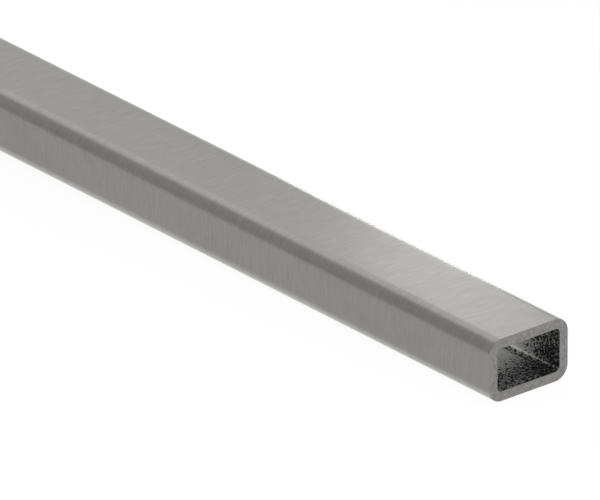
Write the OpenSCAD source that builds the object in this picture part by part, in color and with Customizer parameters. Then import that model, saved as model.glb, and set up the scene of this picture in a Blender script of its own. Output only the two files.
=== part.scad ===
// Rectangular steel tube, one sawn length of stock, lying on one of its wide faces.
// Its length runs along X, its width along Y and its height along Z, with the floor at Z = 0.
// The middle of the underside is the origin.

/* [Section] */
// Width of the tube, across its wide faces
width = 76.2; // [60:0.1:160]
// Height of the tube, across its narrow faces
height = 50.8; // [44:0.1:100]
// Thickness of the steel wall
wall = 7.94; // [3:0.01:12]
// Radius inside each corner, which the wall bends around
inside_corner_r = 3.97; // [1:0.01:8]

/* [Stock] */
// Length of the piece, from sawn end to sawn end
length = 914.4; // [100:0.1:6000]

/* [Sawn ends] */
// Burr taken off around the outside of each end, as a small bevel at 45 degrees
outside_bevel = 0.5; // [0.1:0.05:1.2]
// Burr taken off around the bore at each end, as a small bevel at 45 degrees
bore_bevel = 0.35; // [0.1:0.05:1.2]

/* [Hidden] */
// The wall keeps its thickness around a bend, so both corner arcs share one centre
outside_corner_r = inside_corner_r + wall;
wide_flat = width - 2 * outside_corner_r;
narrow_flat = height - 2 * outside_corner_r;
// Facets of a full circle in the preview
$fn = 96;

// The wall cut through lengthwise: X is depth from the bore outwards, Y runs along the tube
module wall_profile() {
    polygon([
        [0, bore_bevel],
        [bore_bevel, 0],
        [wall - outside_bevel, 0],
        [wall, outside_bevel],
        [wall, length - outside_bevel],
        [wall - outside_bevel, length],
        [bore_bevel, length],
        [0, length - bore_bevel]
    ]);
}

// A flat stretch of wall, standing along Z, with its bore face on the YZ plane
module flat_wall(flat) {
    rotate([90, 0, 0])
        linear_extrude(height = flat, center = true)
            wall_profile();
}

// A bent stretch of wall, standing along Z, a quarter turn about its own bend centre
module bent_wall() {
    rotate_extrude(angle = 90)
        translate([inside_corner_r, 0])
            wall_profile();
}

// Two flats and two bends, from the middle of one wide face round to the middle of the other
module half_ring() {
    translate([height / 2 - wall, 0, 0])
        flat_wall(wide_flat);
    translate([height / 2 - outside_corner_r, width / 2 - outside_corner_r, 0])
        bent_wall();
    translate([0, width / 2 - wall, 0])
        rotate(90)
            flat_wall(narrow_flat);
    translate([outside_corner_r - height / 2, width / 2 - outside_corner_r, 0])
        rotate(90)
            bent_wall();
}

// The wall carried all the way round the section, then laid down along X
module tube() {
    color("#9b9a98")
        translate([-length / 2, 0, height / 2])
            rotate([0, 90, 0])
                for (turn = [0, 180])
                    rotate(turn)
                        half_ring();
}

tube();
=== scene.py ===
# %% [markdown]
# # A length of rectangular steel tube
#
# The real thing is one piece of stock: a thick steel wall bent round four corners and sawn square at both
# ends. The outside is brushed across its length, the sawn ends are bare, and the bore is dark with mill
# scale.
#
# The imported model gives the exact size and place, and everything here is worked out from it.

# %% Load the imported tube
import math

import bpy
import numpy as np
from mathutils import Matrix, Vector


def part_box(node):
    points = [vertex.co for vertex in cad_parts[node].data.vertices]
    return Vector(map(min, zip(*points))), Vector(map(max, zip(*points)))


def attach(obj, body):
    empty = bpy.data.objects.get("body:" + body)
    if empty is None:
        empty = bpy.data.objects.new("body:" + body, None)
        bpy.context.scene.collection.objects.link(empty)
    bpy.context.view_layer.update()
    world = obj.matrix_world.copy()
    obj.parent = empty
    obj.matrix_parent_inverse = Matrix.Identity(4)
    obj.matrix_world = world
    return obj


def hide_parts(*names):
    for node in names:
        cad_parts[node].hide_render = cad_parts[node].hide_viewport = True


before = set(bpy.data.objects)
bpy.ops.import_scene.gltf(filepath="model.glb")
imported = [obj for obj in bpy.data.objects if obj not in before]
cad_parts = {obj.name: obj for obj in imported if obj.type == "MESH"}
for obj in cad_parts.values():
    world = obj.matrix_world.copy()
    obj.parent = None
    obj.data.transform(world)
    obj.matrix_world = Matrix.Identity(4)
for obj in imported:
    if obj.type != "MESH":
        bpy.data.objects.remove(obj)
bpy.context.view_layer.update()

MM = 0.001
low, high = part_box("tube")
LENGTH = high.x - low.x
WIDTH = high.y - low.y
HEIGHT = high.z - low.z
print(f"tube: {LENGTH / MM:.1f} x {WIDTH / MM:.1f} x {HEIGHT / MM:.1f} mm")

# %% [markdown]
# ## The section, as a line to follow
#
# A bent steel wall keeps its thickness, so the inside and the outside of a corner are arcs about one
# centre. That gives a simple way to describe the whole section: walk round it with a bend centre and a
# direction that points out of the steel. On a flat the centre slides and the direction stays. In a bend
# the centre stays and the direction turns. Any depth in the wall is then the centre plus a distance along
# that direction.
#
# Extruding a drawn outline would give the same section, but this way the rounded edges at the ends come
# for free.

# %% Walk round the section
WALL = 7.94 * MM
INSIDE_CORNER_R = 3.97 * MM
OUTSIDE_CORNER_R = INSIDE_CORNER_R + WALL
BEND_STEPS = 16
FLAT_STEP = 1.3 * MM


def section_stations():
    """Stations round the section: bend centres, outward directions and the shares of a bend.

    A quarter is one bend and the flat after it. In the bend the direction turns by 90 degrees in equal
    steps. Along the flat the centre slides in equal steps from this corner's centre to the next corner's.
    The share of a bend grows from 0 at its start to 1 at its end, and stays 1 along the flat.
    """
    reach = np.array([WIDTH / 2 - OUTSIDE_CORNER_R, HEIGHT / 2 - OUTSIDE_CORNER_R])
    corners = np.array([(1, 1), (-1, 1), (-1, -1), (1, -1)]) * reach
    centres, turns, shares = [], [], []
    for quarter in range(4):
        here = corners[quarter]
        slide = corners[(quarter + 1) % 4] - here
        bend = np.linspace(0, 1, BEND_STEPS, endpoint=False)
        steps = round(np.abs(slide).sum() / FLAT_STEP)
        flat = np.linspace(0, 1, steps, endpoint=False)
        centres += [np.repeat([here], BEND_STEPS, axis=0), here + flat[:, None] * slide]
        turns += [quarter + bend, np.full(steps, quarter + 1.0)]
        shares += [bend, np.ones(steps)]
    centres = np.concatenate(centres) + (0, HEIGHT / 2)
    turns = np.concatenate(turns) * math.pi / 2
    outward = np.stack([np.cos(turns), np.sin(turns)], axis=1)
    return centres, outward, np.concatenate(shares)


centres, outward, bend_share = section_stations()
print(f"{len(centres)} stations round the section")

# %% [markdown]
# ## The wall's profile, from end to end
#
# Cut the wall through lengthwise and its outline is a long thin bar: the outside, a sawn end, the bore
# and the other sawn end. A sawn edge is sharp enough to cut a hand, so it is filed or brushed off, and
# each corner of the bar is a small round. Points lie close together near the ends of the bore, where the
# scale's relief shows, and far apart where nothing changes. One point on each side of a round, a little
# way off, keeps the smooth shading of the round from spreading over the flat beside it.

# %% Draw the wall's profile
OUTSIDE_EDGE_R = 0.5 * MM
BORE_EDGE_R = 0.35 * MM
EDGE_STEPS = 5
EDGE_GUARD = 0.3 * MM
OUTSIDE_STEP = 8 * MM
END_STEPS = 6
SEEN_DEPTH = 75 * MM
SEEN_STEP = 0.9 * MM
DEEP_STEPS = 24


def edge_round(x, depth, radius, start):
    """A quarter circle about (x, depth), turning clockwise from the start angle in degrees."""
    turn = np.radians(start - np.linspace(0, 90, EDGE_STEPS))
    return np.stack([x + radius * np.cos(turn), depth + radius * np.sin(turn)], axis=1)


def half_profile():
    """(x, depth) points from the middle of the outside, over the end at +X, to the middle of the bore.

    Depth is 0 on the bore and one wall on the outside.
    """
    end = LENGTH / 2
    outside_x = np.linspace(0, end - OUTSIDE_EDGE_R - EDGE_GUARD, round(end / OUTSIDE_STEP))
    end_depth = np.linspace(WALL - OUTSIDE_EDGE_R - EDGE_GUARD, BORE_EDGE_R + EDGE_GUARD, END_STEPS)
    seen = np.linspace(BORE_EDGE_R + EDGE_GUARD, SEEN_DEPTH, round(SEEN_DEPTH / SEEN_STEP))
    deep = np.linspace(SEEN_DEPTH, end, DEEP_STEPS)[1:]
    bore_x = end - np.concatenate([seen, deep])
    return np.concatenate(
        [
            np.stack([outside_x, np.full(len(outside_x), WALL)], axis=1),
            edge_round(end - OUTSIDE_EDGE_R, WALL - OUTSIDE_EDGE_R, OUTSIDE_EDGE_R, 90),
            np.stack([np.full(len(end_depth), end), end_depth], axis=1),
            edge_round(end - BORE_EDGE_R, BORE_EDGE_R, BORE_EDGE_R, 0),
            np.stack([bore_x, np.zeros(len(bore_x))], axis=1),
        ]
    )


half = half_profile()
profile = np.concatenate([half, half[-2:0:-1] * (-1, 1)])
from_end = LENGTH / 2 - np.abs(profile[:, 0])
print(f"{len(profile)} points round the wall's profile")

# %% [markdown]
# ## The way round the bore
#
# The bore's colour depends on how far in one looks and on how far one is from a bend, so both are
# measured first. The way round the bore is the sum of the steps between stations, and each bend is
# known by its middle.

# %% Measure the way round the bore
bore_line = centres + outward * INSIDE_CORNER_R
girth_steps = np.linalg.norm(np.roll(bore_line, -1, axis=0) - bore_line, axis=1)
bore_girth = girth_steps.sum()
around = np.cumsum(girth_steps) - girth_steps
bends = around[bend_share == 0.5]
print(f"{bore_girth / MM:.1f} mm round the bore, bends at {np.round(bends / MM, 1)} mm")

# %% [markdown]
# ## How dark the bore is, and a painted highlight along each bend
#
# The bore is dark with specks at the mouth. Further in, the specks thin out and the bore grows paler
# until only grey steel is left. The dark part reaches further in along two opposite bends than along
# the other two. A bright line along the inside of each bend is a painted highlight: light that the
# curved inside of a bend would catch, painted into the colour. A darker strip lies beside each bend.
#
# A painted picture could show the same, but it would fit one size only. Two numbers a point do it for any
# size: how pale the steel is, and what share of it the specks cover. They are stored on the mesh for the
# shader.

# %% Map the bore's tone and the painted highlight
SIDEWAYS_REACH = 27 * MM
PALE_AT, PALE_WIDTH = 45.5 * MM, 11 * MM
PALE_MOUTH, PALE_DEEP = 0.058, 0.65
COVER_ENDS_AT, COVER_WIDTH = 35 * MM, 7 * MM
COVER_MOUTH = 0.77
# The painted highlight: a bright line painted into the bore's colour along the inside of each bend.
PAINTED_HIGHLIGHT_PLACE, PAINTED_HIGHLIGHT_HALF_WIDTH = 0.4 * MM, 0.65 * MM
PAINTED_HIGHLIGHT_GAIN, PAINTED_HIGHLIGHT_SHARE, PAINTED_HIGHLIGHT_CLEARS = 0.02, 0.4, 0.4
# A darker strip beside each bend, with more specks on it.
DARK_STRIP_PLACE, DARK_STRIP_HALF_WIDTH = -3.8 * MM, 3.2 * MM
DARK_STRIP_DARKENS, DARK_STRIP_COVERS = 0.35, 0.55


def strip(place, half_width):
    """1 along a strip beside each bend: exp(-(offset / half width)^4), a bell with a flat top.

    The offset is from the strip's place, and the place from the middle of the nearest bend.
    """
    off = (around[:, None] - bends[None, :] + bore_girth / 2) % bore_girth - bore_girth / 2
    nearest = off[np.arange(len(around)), np.abs(off).argmin(axis=1)]
    return np.exp(-(((nearest - place) / half_width) ** 4))[:, None]


def s_curve(distance, middle, width):
    """1 / (1 + exp((middle - distance) / width)): 0 well before the middle and 1 well after it."""
    return 1 / (1 + np.exp((middle - distance) / width))


def bore_tone_and_painted_highlight():
    """How pale the bore is, painted highlight included, and the share that specks cover, at each station
    and profile point.

    The distance from the darkest places, at the mouth on two opposite bends, joins the depth and a sideways
    part as the sides of a right angle. The sideways part is reach * tanh(way round the bore to the nearer
    of these bends / reach), which follows the way at first and then levels off. Both numbers follow an
    S-curve of that distance. A darker strip beside each bend then lowers how pale it is, and the painted
    highlight raises it.
    """
    off = (around - bends[1] + bore_girth / 4) % (bore_girth / 2) - bore_girth / 4
    sideways = SIDEWAYS_REACH * np.tanh(np.abs(off) / SIDEWAYS_REACH)
    distance = np.hypot(from_end[None, :], sideways[:, None])
    pale = PALE_MOUTH + (PALE_DEEP - PALE_MOUTH) * s_curve(distance, PALE_AT, PALE_WIDTH)
    covered = COVER_MOUTH * (1 - s_curve(distance, COVER_ENDS_AT, COVER_WIDTH))
    # A painted highlight along the inside of each bend, and a darker strip beside each bend.
    painted_highlight = strip(PAINTED_HIGHLIGHT_PLACE, PAINTED_HIGHLIGHT_HALF_WIDTH)
    dark_strip = strip(DARK_STRIP_PLACE, DARK_STRIP_HALF_WIDTH)
    pale = pale * (1 - DARK_STRIP_DARKENS * dark_strip) + painted_highlight * (PAINTED_HIGHLIGHT_GAIN + PAINTED_HIGHLIGHT_SHARE * pale)
    covered = np.maximum(covered, DARK_STRIP_COVERS * dark_strip) * (1 - PAINTED_HIGHLIGHT_CLEARS * painted_highlight)
    return pale, covered


paleness_with_painted_highlight, cover = bore_tone_and_painted_highlight()
print(f"paleness {paleness_with_painted_highlight.min():.2f} to {paleness_with_painted_highlight.max():.2f}")
print(f"cover {cover.min():.2f} to {cover.max():.2f}")

# %% [markdown]
# ## Relief in the steel
#
# The outside is not perfectly flat: rolling leaves each face a little hollow between the bends. The bore
# has real relief near its ends, where one can look in, because the scale has lifted and flaked in places.
#
# Both are depths taken off the same grid, so that the light finds them in the shape itself.

# %% Work out the pits and the hollows
SCALE_PATCH = 2.6 * MM
TINY = 1e-9


def blend(share):
    """3 s^2 - 2 s^3: an even start and stop between 0 and 1."""
    return share * share * (3 - 2 * share)


def smooth_patches(rng, patch):
    """Random heights from 0 to 1 on square patches, blended smoothly between patch corners.

    The rows of patches close round the bore, so that there is no seam. Columns run from end to end.
    """
    rows = round(bore_girth / patch)
    columns = int(LENGTH / patch) + 2
    heights = rng.random((rows, columns))
    row, row_share = np.divmod(around / bore_girth * rows, 1)
    column, column_share = np.divmod((profile[:, 0] + LENGTH / 2) / patch, 1)
    row = row.astype(int) % rows
    column = column.astype(int)
    across = blend(row_share)[:, None]
    along = blend(column_share)[None, :]
    near = heights[:, column] * (1 - along) + heights[:, column + 1] * along
    return near[row] * (1 - across) + near[(row + 1) % rows] * across


def face_hollow():
    """The square of the sine of the share of a flat that lies behind the station, and 0 in the bends."""
    hollow = np.zeros(len(centres))
    for axis in range(2):
        flat = np.abs(outward[:, 1 - axis]) > 1 - TINY
        along = centres[flat, axis]
        hollow[flat] = np.sin(math.pi * (along - along.min()) / np.ptp(along)) ** 2
    return hollow


# %% Give the wall its relief
FACE_HOLLOW = 0.08 * MM
HOLLOW_FADE = 12 * MM
SCALE_RELIEF = 0.12 * MM
PITS_START, PITS_FADE = 0.6 * MM, 2 * MM
SEED = 7


def wall_relief():
    """Depth taken off the outside, or pitted into the bore, at each station and profile point.

    Pits are the mean of coarse and fine patches. They grow just inside the edge, and fade out over the
    second half of the depth that one can see. Hollows fade out towards the sawn ends, which stay true.
    """
    rng = np.random.default_rng(SEED)
    patches = (smooth_patches(rng, 2 * SCALE_PATCH) + smooth_patches(rng, SCALE_PATCH)) / 2
    grow = np.clip((from_end - PITS_START) / PITS_FADE, 0, 1)
    fade = np.clip(2 * (1 - from_end / SEEN_DEPTH), 0, 1)
    pits = -SCALE_RELIEF * patches * (grow * fade)[None, :]
    hollows = FACE_HOLLOW * face_hollow()[:, None] * blend(np.clip(from_end / HOLLOW_FADE, 0, 1))[None, :]
    depth = profile[None, :, 1]
    return np.where(depth == 0, pits, np.where(depth == WALL, hollows, 0))


relief = wall_relief()
print(f"relief: {relief.min() / MM:.3f} to {relief.max() / MM:.3f} mm")

# %% [markdown]
# ## One surface for the whole tube
#
# Carrying the profile past every station gives a closed surface with no seam, like a stretched ring. It
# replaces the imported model's own mesh, whose bends are made of only a few flat strips.

# %% Carry the profile round the section
OUTSIDE_FINISH, END_FINISH, BORE_FINISH = range(3)


def finish_along_profile():
    """The material slot of each stretch of the profile, from the place of its middle."""
    middle = (profile + np.roll(profile, -1, axis=0)) / 2
    on_end = LENGTH / 2 - np.abs(middle[:, 0]) < TINY
    on_bore = middle[:, 1] < TINY
    return np.select([on_end, on_bore], [END_FINISH, BORE_FINISH], OUTSIDE_FINISH).astype(np.int32)


def ring_surface(name):
    """A closed grid: bend centre, plus (inside radius + depth - relief) along the outward direction."""
    reach = INSIDE_CORNER_R + profile[None, :, 1] - relief
    x = np.broadcast_to(profile[None, :, 0], reach.shape)
    y = centres[:, None, 0] + outward[:, None, 0] * reach
    z = centres[:, None, 1] + outward[:, None, 1] * reach
    points = np.stack([x, y, z], axis=2)
    this = np.arange(reach.size).reshape(reach.shape)
    onward = np.roll(this, -1, axis=0)
    quads = np.stack([this, onward, np.roll(onward, -1, axis=1), np.roll(this, -1, axis=1)], axis=2)
    mesh = bpy.data.meshes.new(name)
    mesh.vertices.add(reach.size)
    mesh.vertices.foreach_set("co", points.astype(np.float32).ravel())
    mesh.loops.add(quads.size)
    mesh.loops.foreach_set("vertex_index", quads.astype(np.int32).ravel())
    mesh.polygons.add(reach.size)
    mesh.polygons.foreach_set("loop_start", np.arange(0, quads.size, 4, dtype=np.int32))
    mesh.polygons.foreach_set("material_index", np.tile(finish_along_profile(), len(centres)))
    mesh.update(calc_edges=True)
    mesh.shade_smooth()
    return mesh


tube_mesh = ring_surface("steel_tube")
tube = bpy.data.objects.new("steel_tube", tube_mesh)
bpy.context.scene.collection.objects.link(tube)
print(f"{len(tube_mesh.polygons) * 2} triangles")

# %% Store the bore's tone and painted highlight on the mesh


def store(mesh, name, values):
    """Keeps one number a point on the mesh, for the shader to read."""
    made = mesh.attributes.new(name, "FLOAT", "POINT")
    made.data.foreach_set("value", values.astype(np.float32).ravel())


store(tube_mesh, "paleness_with_painted_highlight", paleness_with_painted_highlight)
store(tube_mesh, "cover", cover)
print(f"numbers on the mesh: {[a.name for a in tube_mesh.attributes if a.name in ('paleness_with_painted_highlight', 'cover')]}")

# %% [markdown]
# ## Colours and nodes
#
# Colours are written as the hex values that a paint shop or a screen uses. A renderer adds up light, so
# they are turned into linear values first.
#
# One small function adds a node with its settings and its links. Sockets go by name, or by number in a
# maths node, whose sockets all have the same name.

# %% Helpers for materials


def linear(colour):
    """A hex colour as linear RGBA: each channel over 12.92 below the knee, and a 2.4 power above it."""
    channels = [int(colour[i : i + 2], 16) / 255 for i in (1, 3, 5)]
    return tuple(c / 12.92 if c <= 0.04045 else ((c + 0.055) / 1.055) ** 2.4 for c in channels) + (1.0,)


def add(tree, kind, inputs=(), **settings):
    """Adds a node. settings are its properties; inputs give a socket a value or another node's output."""
    made = tree.nodes.new("ShaderNode" + kind)
    for name, value in settings.items():
        setattr(made, name, value)
    for socket, value in dict(inputs).items():
        if isinstance(value, bpy.types.NodeSocket):
            tree.links.new(value, made.inputs[socket])
        else:
            made.inputs[socket].default_value = value
    return made


def new_material(name):
    """A material with an empty node tree, and that tree."""
    made = bpy.data.materials.new(name)
    made.use_nodes = True
    made.node_tree.nodes.clear()
    return made, made.node_tree


print(f"#808080 is {linear('#808080')[0]:.3f} in linear light")

# %% [markdown]
# ## Cross-brushed mild steel
#
# The outside is bare mild steel, cleaned with an abrasive belt that ran across the tube. Each grain of
# grit cuts a groove a tenth of a millimetre wide, too fine to show here, so the lines are drawn 1.5 mm
# apart. They run across the length on every face, and they are faint: two or three grey levels.
#
# A squeezed noise does it: narrow along the tube, and drawn out across it. A straight wave would look
# printed. Where the belt cut deep, the steel is a little darker and a little rougher. Wide clouds stand
# for the uneven pressure of a hand. A noise hardly ever gets near 0 or 1, so each Map Range starts and
# ends further in.

# %% Make the brushed outside
LINE_SPACING = 1.5 * MM
LINE_LENGTH = 14 * MM
CLOUD_SIZE = 70 * MM
CLOUD_SHARE = 0.3
DEEPEST_TONE, SHALLOWEST_TONE = 0.28, 1.02
DEEP_COLOUR, SHALLOW_COLOUR = "#82817f", "#8f8e8c"
DEEPEST_LINE, SHALLOWEST_LINE = 0.3, 0.7
DEEP_ROUGHNESS, SHALLOW_ROUGHNESS = 0.305, 0.28
GROOVE_DEPTH = 0.02 * MM
GROOVE_STRENGTH = 0.08


def cross_brushed_mild_steel():
    """Metal with a noise 1.5 mm wide along X and 14 mm long across, in its colour, gloss and bump."""
    made, tree = new_material("cross_brushed_mild_steel")
    place = add(tree, "TexCoord").outputs["Object"]
    squeeze = (1 / LINE_SPACING, 1 / LINE_LENGTH, 1 / LINE_LENGTH)
    squeezed = add(tree, "Mapping", {"Vector": place, "Scale": squeeze}).outputs[0]
    lines = add(tree, "TexNoise", {"Vector": squeezed, "Scale": 1.0, "Detail": 1.0}).outputs[0]
    clouds = add(tree, "TexNoise", {"Vector": place, "Scale": 1 / CLOUD_SIZE, "Detail": 2.0}).outputs[0]
    both = add(tree, "Math", {0: clouds, 1: CLOUD_SHARE, 2: lines}, operation="MULTIPLY_ADD").outputs[0]
    tone = add(
        tree,
        "MapRange",
        {"Value": both, "From Min": DEEPEST_TONE, "From Max": SHALLOWEST_TONE},
    ).outputs[0]
    colour = add(
        tree,
        "Mix",
        {"Factor": tone, "A": linear(DEEP_COLOUR), "B": linear(SHALLOW_COLOUR)},
        data_type="RGBA",
    ).outputs["Result"]
    gloss = add(
        tree,
        "MapRange",
        {
            "Value": lines,
            "From Min": DEEPEST_LINE,
            "From Max": SHALLOWEST_LINE,
            "To Min": DEEP_ROUGHNESS,
            "To Max": SHALLOW_ROUGHNESS,
        },
    ).outputs[0]
    grooves = add(
        tree,
        "Bump",
        {"Strength": GROOVE_STRENGTH, "Distance": GROOVE_DEPTH, "Height": lines},
    ).outputs[0]
    steel = add(
        tree,
        "BsdfPrincipled",
        {"Base Color": colour, "Metallic": 1.0, "Roughness": gloss, "Normal": grooves},
    )
    add(tree, "OutputMaterial", {"Surface": steel.outputs[0]})
    return made


tube_mesh.materials.append(cross_brushed_mild_steel())
print(f"outside: {tube_mesh.materials[OUTSIDE_FINISH].name}")

# %% [markdown]
# ## The sawn ends
#
# A bandsaw leaves a flat face with very fine, nearly straight lines across it. From arm's length they
# melt into a smooth, slightly mottled grey. So the lines are only in the bump, and the colour is a soft
# noise.

# %% Make the sawn face
SAW_LINE = 0.8 * MM
SAW_LINE_LENGTH = 25 * MM
MOTTLE = 2.4 * MM
DARKEST_MOTTLE, PALEST_MOTTLE = 0.35, 0.65
DARK_SAWN_COLOUR, PALE_SAWN_COLOUR = "#7d7c7b", "#908f8e"
SAWN_ROUGHNESS = 0.38
SAW_LINE_STRENGTH = 0.2


def sawn_mild_steel():
    """Metal with saw lines 0.8 mm apart up the face, and mottling 2.4 mm across."""
    made, tree = new_material("sawn_mild_steel")
    place = add(tree, "TexCoord").outputs["Object"]
    squeeze = (1, 1 / SAW_LINE, 1 / SAW_LINE_LENGTH)
    squeezed = add(tree, "Mapping", {"Vector": place, "Scale": squeeze}).outputs[0]
    saw = add(tree, "TexNoise", {"Vector": squeezed, "Scale": 1.0, "Detail": 2.0}).outputs[0]
    mottle = add(tree, "TexNoise", {"Vector": place, "Scale": 1 / MOTTLE, "Detail": 3.0}).outputs[0]
    tone = add(
        tree,
        "MapRange",
        {"Value": mottle, "From Min": DARKEST_MOTTLE, "From Max": PALEST_MOTTLE},
    ).outputs[0]
    colour = add(
        tree,
        "Mix",
        {"Factor": tone, "A": linear(DARK_SAWN_COLOUR), "B": linear(PALE_SAWN_COLOUR)},
        data_type="RGBA",
    ).outputs["Result"]
    cut = add(
        tree,
        "Bump",
        {"Strength": SAW_LINE_STRENGTH, "Distance": GROOVE_DEPTH, "Height": saw},
    ).outputs[0]
    steel = add(
        tree,
        "BsdfPrincipled",
        {"Base Color": colour, "Metallic": 1.0, "Roughness": SAWN_ROUGHNESS, "Normal": cut},
    )
    add(tree, "OutputMaterial", {"Surface": steel.outputs[0]})
    return made


tube_mesh.materials.append(sawn_mild_steel())
print(f"ends: {tube_mesh.materials[END_FINISH].name}")

# %% [markdown]
# ## Mill scale in the bore
#
# No belt reaches the bore, so it keeps the iron oxide that hot steel grows: a dull, blue-black crust. It
# is brittle, and it breaks off in tiny plates. What is left looks like dark specks on grey steel.
#
# A cell noise does it. Each cell is one plate and has a number of its own between 0 and 1, and at each
# point it knows the distance from its middle. The sum of the number and a part of the distance is held
# against a limit that grows with the cover. Under the limit the plate is still there. The distance rounds
# the plates off: without it they would be sharp-cornered tiles.

# %% Make the scaled bore
PLATE = 1.3 * MM
PLATE_GREY = 0.1
ROUNDING = 0.4
LIMIT_START, LIMIT_GROWTH = 0.12, 1.1
SOFT_EDGE = 0.06
CRUST_DEPTH = 0.2 * MM
CRUST_STRENGTH = 0.6
BLACKEST, PALEST = "#000000", "#fffefc"
SCALE_ROUGHNESS = 0.7
SCALE_GLOSS = 0.03


def scaled_mild_steel():
    """Dull oxide: plates 1.3 mm across, dark where they cover the steel and grey where they are gone."""
    made, tree = new_material("scaled_mild_steel")
    place = add(tree, "TexCoord").outputs["Object"]
    # How pale the bore is, as read here, includes the painted highlight along each bend.
    pale = add(tree, "Attribute", attribute_name="paleness_with_painted_highlight").outputs["Fac"]
    covered = add(tree, "Attribute", attribute_name="cover").outputs["Fac"]
    plates = add(tree, "TexVoronoi", {"Vector": place, "Scale": 1 / PLATE}).outputs
    number = add(tree, "SeparateColor", {"Color": plates["Color"]}).outputs["Red"]
    reach = add(
        tree,
        "Math",
        {0: plates["Distance"], 1: ROUNDING, 2: number},
        operation="MULTIPLY_ADD",
    ).outputs[0]
    limit = add(
        tree,
        "Math",
        {0: covered, 1: LIMIT_GROWTH, 2: LIMIT_START},
        operation="MULTIPLY_ADD",
    ).outputs[0]
    over = add(tree, "Math", {0: reach, 1: limit}, operation="SUBTRACT").outputs[0]
    bare = add(
        tree,
        "MapRange",
        {"Value": over, "From Min": -SOFT_EDGE, "From Max": SOFT_EDGE, "To Min": PLATE_GREY, "To Max": 1.0},
    ).outputs[0]
    grey = add(tree, "Math", {0: pale, 1: bare}, operation="MULTIPLY").outputs[0]
    colour = add(
        tree,
        "Mix",
        {"Factor": grey, "A": linear(BLACKEST), "B": linear(PALEST)},
        data_type="RGBA",
    ).outputs["Result"]
    grain = add(tree, "TexNoise", {"Vector": place, "Scale": 1 / PLATE, "Detail": 1.0}).outputs[0]
    crust = add(
        tree,
        "Bump",
        {"Strength": CRUST_STRENGTH, "Distance": CRUST_DEPTH, "Height": grain},
    ).outputs[0]
    oxide = add(
        tree,
        "BsdfPrincipled",
        {
            "Base Color": colour,
            "Metallic": 0.0,
            "Roughness": SCALE_ROUGHNESS,
            "Specular IOR Level": SCALE_GLOSS,
            "Normal": crust,
        },
    )
    add(tree, "OutputMaterial", {"Surface": oxide.outputs[0]})
    return made


tube_mesh.materials.append(scaled_mild_steel())
print(f"bore: {tube_mesh.materials[BORE_FINISH].name}")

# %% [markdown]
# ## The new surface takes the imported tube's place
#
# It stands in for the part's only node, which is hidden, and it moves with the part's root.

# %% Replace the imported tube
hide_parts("tube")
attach(tube, "root")
print(f"{tube.name} replaces the packed tube")

# %% [markdown]
# ## The floor
#
# The tube lies on a plain pale floor. Light Path tells what kind of ray is asking. A camera, glossy or
# transmission ray sees mostly plain white, so that the picture and the metal's reflections have the same
# white around them. Every other ray sees pale paint, whose share in the mix keeps a faint shadow.

# %% Lay the floor
FLOOR_SIZE = 60.0
PALE_PAINT = "#f4f4f4"
WHITE_SHARE = 0.92


def seen_directly(tree):
    """1 for a camera, glossy or transmission ray, and 0 for any other."""
    path = add(tree, "LightPath").outputs
    either = add(
        tree,
        "Math",
        {0: path["Is Camera Ray"], 1: path["Is Glossy Ray"]},
        operation="MAXIMUM",
    ).outputs[0]
    return add(tree, "Math", {0: either, 1: path["Is Transmission Ray"]}, operation="MAXIMUM").outputs[0]


def pale_floor():
    """Pale paint, mixed with plain white for the rays that look at it."""
    made, tree = new_material("pale_painted_floor")
    paint = add(tree, "BsdfDiffuse", {"Color": linear(PALE_PAINT)}).outputs[0]
    white = add(tree, "Emission", {"Color": linear("#ffffff"), "Strength": 1.0}).outputs[0]
    share = add(tree, "Math", {0: seen_directly(tree), 1: WHITE_SHARE}, operation="MULTIPLY").outputs[0]
    both = add(tree, "MixShader", {0: share, 1: paint, 2: white}).outputs[0]
    add(tree, "OutputMaterial", {"Surface": both})
    return made


def flat_card(name, corners, material):
    """One four-sided face from its corners, as a part of the stage."""
    mesh = bpy.data.meshes.new(name)
    mesh.from_pydata(corners, [], [(0, 1, 2, 3)])
    mesh.materials.append(material)
    card = bpy.data.objects.new(name, mesh)
    bpy.context.scene.collection.objects.link(card)
    return card


edge = FLOOR_SIZE / 2
flat_card("floor", [(-edge, -edge, 0), (edge, -edge, 0), (edge, edge, 0), (-edge, edge, 0)], pale_floor())
print(f"floor {FLOOR_SIZE:.0f} m square")

# %% [markdown]
# ## The room
#
# An even white room lights everything softly from all round. Rays that look at it see full white, and the
# rest get a plain level at which a colour renders about as it is written.

# %% Make the world
PLAIN_LEVEL = 0.85

world = bpy.data.worlds.new("white_studio")
bpy.context.scene.world = world
world.use_nodes = True
world.node_tree.nodes.clear()
level = add(
    world.node_tree,
    "MapRange",
    {"Value": seen_directly(world.node_tree), "To Min": PLAIN_LEVEL, "To Max": 1.0},
).outputs[0]
white = add(world.node_tree, "Background", {"Color": linear("#ffffff"), "Strength": level}).outputs[0]
add(world.node_tree, "OutputWorld", {"Surface": white})
print(f"room at {PLAIN_LEVEL} of full white")

# %% [markdown]
# ## The camera
#
# The long edges of the tube stay parallel in the picture, so it was taken from far away. A very long lens
# does the same. The directions of the edges give the two angles, the width of the end gives the size of a
# pixel, and the near bottom corner is put on its own pixel. Pixels are counted from the middle of the top
# left one.

# %% Place the camera
PICTURE = np.array([600, 500])
VIEW_AZIMUTH = 50.05
VIEW_ELEVATION = 24.97
NEAR_CORNER_PIXEL = (488.85, 405.15)
PIXEL = 0.738 * MM
LENS = 1400.0
SENSOR = 36.0


def view_axes(azimuth, elevation):
    """Right, up and back of a camera at this azimuth and elevation, in degrees."""
    a, e = math.radians(azimuth), math.radians(elevation)
    back = np.array([math.sin(a) * math.cos(e), -math.cos(a) * math.cos(e), math.sin(e)])
    right = np.array([math.cos(a), math.sin(a), 0.0])
    return right, np.cross(back, right), back


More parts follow.
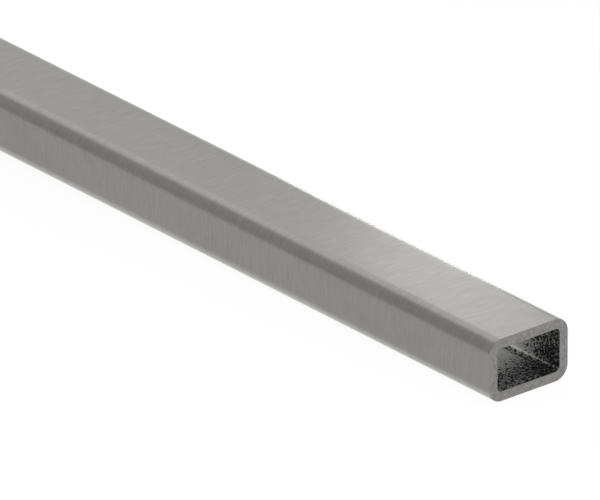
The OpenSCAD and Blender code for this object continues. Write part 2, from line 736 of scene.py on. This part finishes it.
right, up, back = view_axes(VIEW_AZIMUTH, VIEW_ELEVATION)
distance = PIXEL * PICTURE[0] * LENS / SENSOR
off_centre = np.array(NEAR_CORNER_PIXEL) - (PICTURE - 1) / 2
aim = np.array([high.x, low.y, low.z]) - PIXEL * (off_centre[0] * right - off_centre[1] * up)
turned = np.eye(4)
turned[:3] = np.stack([right, up, back, aim + distance * back], axis=1)

camera = bpy.data.objects.new("camera", bpy.data.cameras.new("camera"))
bpy.context.scene.collection.objects.link(camera)
bpy.context.scene.camera = camera
camera.data.lens = LENS
camera.data.sensor_width = SENSOR
camera.data.clip_start = 1.0
camera.data.clip_end = 100.0
camera.matrix_world = Matrix(turned.tolist())
print(f"camera {distance:.2f} m away")

# %% [markdown]
# ## A card for the steel to reflect
#
# Bare steel shows what is around it, so most of the light here is something for it to reflect. A pale
# grey card stands in front. The bend between the top and the front turns towards it, and shows it as the
# dark band that runs the length of the tube in the photo. The card is there for reflections only.

# %% Stand up the pale card
CARD_X = (-3.5, 0.6)
CARD_FOOT = (-0.28, 0.001)
CARD_TOP = (-0.43, 1.9)
GREY_PAINT = "#dfdfdf"


def grey_painted_card():
    """Plain pale grey paint."""
    made, tree = new_material("grey_painted_card")
    paint = add(tree, "BsdfDiffuse", {"Color": linear(GREY_PAINT)}).outputs[0]
    add(tree, "OutputMaterial", {"Surface": paint})
    return made


card = flat_card(
    "pale_card",
    [(CARD_X[0], *CARD_FOOT), (CARD_X[1], *CARD_FOOT), (CARD_X[1], *CARD_TOP), (CARD_X[0], *CARD_TOP)],
    grey_painted_card(),
)
card.visible_camera = False
card.visible_diffuse = False
card.visible_shadow = False
print(f"card {CARD_X[1] - CARD_X[0]:.1f} m wide and {CARD_TOP[1]:.1f} m high")

# %% [markdown]
# ## Panels, a glow and a lamp
#
# A soft panel overhead fills the upper half of that bend with light, and lifts the top face a little. A
# narrow panel behind the near end brightens that part of the top face, and the brightness falls off
# again towards the end. A low panel in the same place is what the far bend shows as its bright line.
# Seen from nearly level, the top face would mirror these two as a glaring patch. So the narrow one hangs
# clear of the floor, the low one stays below the height of the tube, and the top face looks out between
# them.
#
# A strip on the floor stands for the glow of a back-lit table, and gives the lower bend its soft pale
# rim.
#
# A lamp beside the camera looks into the bore. Steel would show it as a glaring spot, so it is hidden
# from reflections and lights only the dull bore and the floor.
#
# A level is easier to think in than watts: 1 looks as white as the floor does to a reflection.

# %% Set up the panels, the glow and the lamp


def area_lamp(name, place, facing, size, level):
    """A rectangular lamp that looks this bright to a reflection: watts = level * pi * area in m2.

    Its width lies level, square to where it faces. So it cannot face straight up, and the glow leans
    over by a hair.
    """
    lamp = bpy.data.lights.new(name, "AREA")
    lamp.shape = "RECTANGLE"
    lamp.size, lamp.size_y = size
    lamp.energy = level * math.pi * size[0] * size[1]
    made = bpy.data.objects.new(name, lamp)
    bpy.context.scene.collection.objects.link(made)
    behind = -np.array(facing, dtype=float)
    behind /= np.linalg.norm(behind)
    side = np.cross((0, 0, 1), behind)
    side /= np.linalg.norm(side)
    axes = np.eye(4)
    axes[:3] = np.stack([side, np.cross(behind, side), behind, place], axis=1)
    made.matrix_world = Matrix(axes.tolist())
    made.visible_camera = False
    print(f"{name}: {lamp.energy:.2f} W")
    return made


area_lamp(
    "overhead_panel",
    place=(-1.5, 0.44, 1.28),
    facing=(0, -0.6, -0.8),
    size=(2.0, 1.28),
    level=0.43,
)
area_lamp(
    "back_panel",
    place=(-0.108, 0.41, 0.265),
    facing=(0, -1, 0),
    size=(0.215, 0.29),
    level=0.97,
)
area_lamp(
    "low_panel",
    place=(-0.1, 0.405, 0.025),
    facing=(0, -1, 0),
    size=(0.24, 0.048),
    level=5.0,
)
area_lamp(
    "table_glow",
    place=(0, -0.037, 0.0005),
    facing=(0, -0.01, 1),
    size=(0.914, 0.014),
    level=0.28,
)
bore_lamp = area_lamp(
    "bore_lamp",
    place=(2.03, -0.92, 0.81),
    facing=(-0.79, 0.46, -0.39),
    size=(0.6, 0.6),
    level=32.0,
)
bore_lamp.visible_glossy = False

bpy.context.scene.view_settings.view_transform = "Standard"
